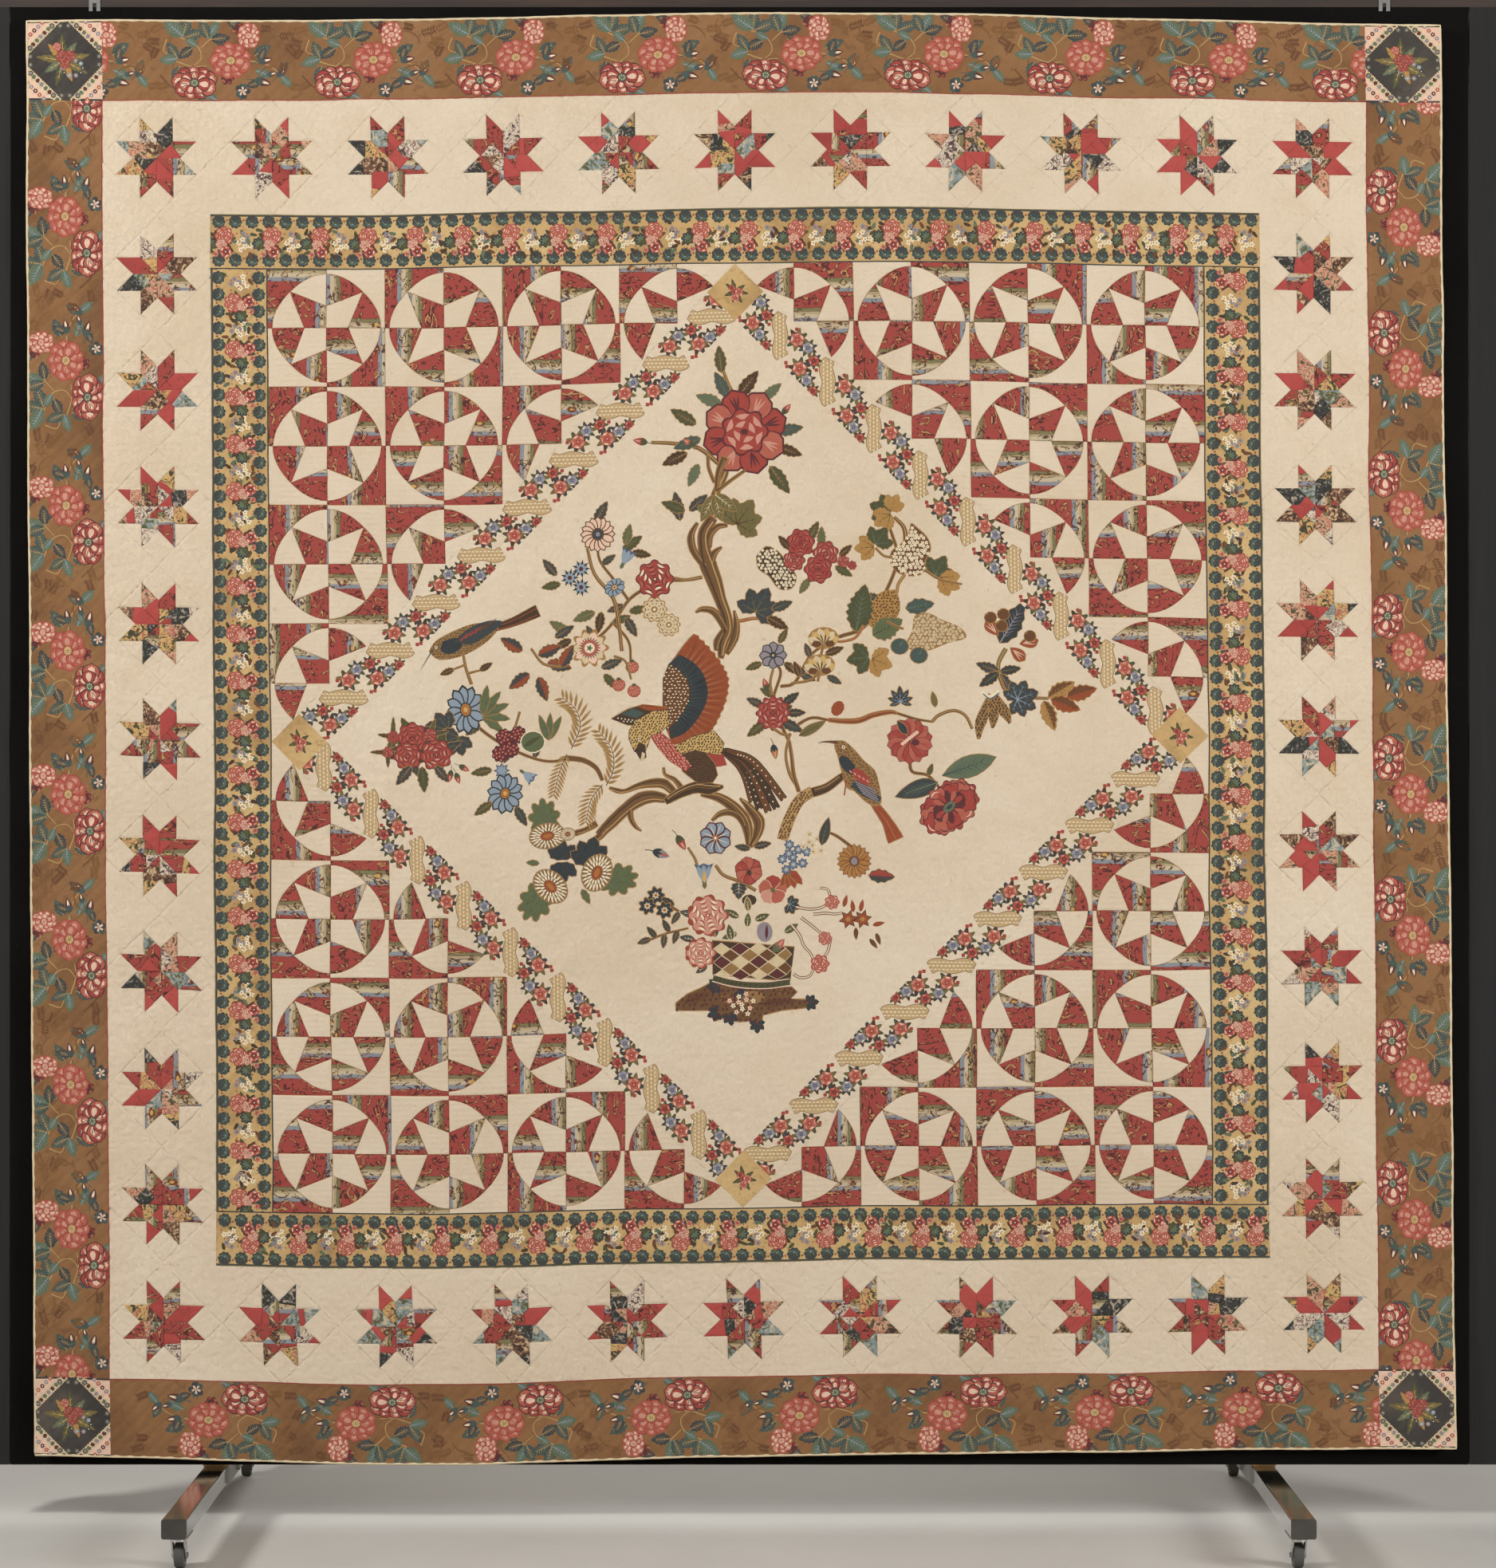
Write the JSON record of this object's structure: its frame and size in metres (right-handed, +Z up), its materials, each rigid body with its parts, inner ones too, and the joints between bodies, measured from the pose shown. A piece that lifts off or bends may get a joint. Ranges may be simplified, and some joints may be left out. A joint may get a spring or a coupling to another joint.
{
  "type": "quilt on a rack",
  "caption": "Large pieced and appliqued medallion quilt hanging from a hooked wooden cleat on a black cloth-covered board, on a free-standing rack with rolling feet.",
  "frame": {"origin": "on the floor, at the middle of the rack's footprint", "axes": "+Z up, the quilt faces -Y, +X to the right of someone looking at the quilt"},
  "size_m": [3.224, 1.126, 3.293],
  "materials": {
    "backing_cotton": "matt",
    "batting": "matt",
    "cream_cotton": "matt",
    "brown_chintz": "matt",
    "navy_print": "matt",
    "scrap_prints": "matt",
    "inner_print": "matt",
    "red_print": "matt",
    "rose_print": "matt",
    "tan_print": "matt",
    "leaf_chintz": "matt",
    "flower_chintz": "matt",
    "bird_chintz": "matt",
    "basket_chintz": "matt",
    "webbing": "matt",
    "nylon_tape": "matt",
    "pine": "satin",
    "plywood": "satin",
    "black_cloth": "matt",
    "black_timber": "matt",
    "honey_pine": "satin",
    "steel": "satin",
    "chrome": "polished",
    "black_plastic": "matt",
    "grey_plastic": "matt",
    "black_steel": "satin",
    "wheel_rubber": "matt"
  },
  "bodies": {
    "rack": {"cleat_rail": "pine", "backing_panels": "plywood", "backdrop_cloth": "black_cloth", "upright_left": "black_timber", "upright_right": "black_timber", "outer_stud_left": "pine", "inner_studs": "pine", "outer_stud_right": "pine", "rear_rail_bottom": "pine", "rear_rail_middle": "pine", "rear_rail_top": "pine", "top_beam": "honey_pine", "top_brackets": "steel", "coach_screws": "steel", "wood_screws": "steel", "through_bolts": "steel", "nuts": "steel", "foot_tube_left": "chrome", "foot_tube_right": "chrome", "foot_end_caps": "black_plastic", "foot_plates": "steel", "rear_braces": "black_steel", "caster_plates": "steel", "caster_screws": "steel"},
    "quilt": {"quilt_backing": "backing_cotton", "quilt_batting": "batting", "binding": "cream_cotton", "outer_border_strips": "brown_chintz", "corner_squares": "navy_print", "star_border_strips": "cream_cotton", "star_patches": "scrap_prints", "inner_border_strips": "inner_print", "block_field": "red_print", "medallion_ground": "cream_cotton", "medallion_frame_strips": "rose_print", "medallion_corner_squares": "tan_print", "tree_applique": "leaf_chintz", "flower_appliques": "flower_chintz", "bird_appliques": "bird_chintz", "basket_applique": "basket_chintz", "webbing_strip": "webbing", "loop_tape": "nylon_tape", "hook_tape": "nylon_tape", "hanging_slat": "pine"},
    "fork_front_left": {"fork_front_left": "chrome", "axle_front_left": "steel"},
    "wheel_front_left": {"hub_front_left": "grey_plastic", "tyre_front_left": "wheel_rubber"},
    "fork_rear_left": {"fork_rear_left": "chrome", "axle_rear_left": "steel"},
    "wheel_rear_left": {"hub_rear_left": "grey_plastic", "tyre_rear_left": "wheel_rubber"},
    "fork_front_right": {"fork_front_right": "chrome", "axle_front_right": "steel"},
    "wheel_front_right": {"hub_front_right": "grey_plastic", "tyre_front_right": "wheel_rubber"},
    "fork_rear_right": {"fork_rear_right": "chrome", "axle_rear_right": "steel"},
    "wheel_rear_right": {"hub_rear_right": "grey_plastic", "tyre_rear_right": "wheel_rubber"}
  },
  "joints": [
    {"name": "quilt_lift", "type": "slide", "parent": "rack", "child": "quilt", "axis": [0, 0, 1], "range_m": [0, 0.035]},
    {"name": "swivel_front_left", "type": "hinge", "parent": "rack", "child": "fork_front_left", "pos_m": [-1.11, -0.5, 0.06], "axis": [0, 0, 1], "continuous": true},
    {"name": "roll_front_left", "type": "hinge", "parent": "fork_front_left", "child": "wheel_front_left", "pos_m": [-1.11, -0.478, 0.025], "axis": [1, 0, 0], "continuous": true},
    {"name": "swivel_rear_left", "type": "hinge", "parent": "rack", "child": "fork_rear_left", "pos_m": [-1.11, 0.5, 0.06], "axis": [0, 0, 1], "continuous": true},
    {"name": "roll_rear_left", "type": "hinge", "parent": "fork_rear_left", "child": "wheel_rear_left", "pos_m": [-1.11, 0.522, 0.025], "axis": [1, 0, 0], "continuous": true},
    {"name": "swivel_front_right", "type": "hinge", "parent": "rack", "child": "fork_front_right", "pos_m": [1.11, -0.5, 0.06], "axis": [0, 0, 1], "continuous": true},
    {"name": "roll_front_right", "type": "hinge", "parent": "fork_front_right", "child": "wheel_front_right", "pos_m": [1.11, -0.478, 0.025], "axis": [1, 0, 0], "continuous": true},
    {"name": "swivel_rear_right", "type": "hinge", "parent": "rack", "child": "fork_rear_right", "pos_m": [1.11, 0.5, 0.06], "axis": [0, 0, 1], "continuous": true},
    {"name": "roll_rear_right", "type": "hinge", "parent": "fork_rear_right", "child": "wheel_rear_right", "pos_m": [1.11, 0.522, 0.025], "axis": [1, 0, 0], "continuous": true}
  ]
}
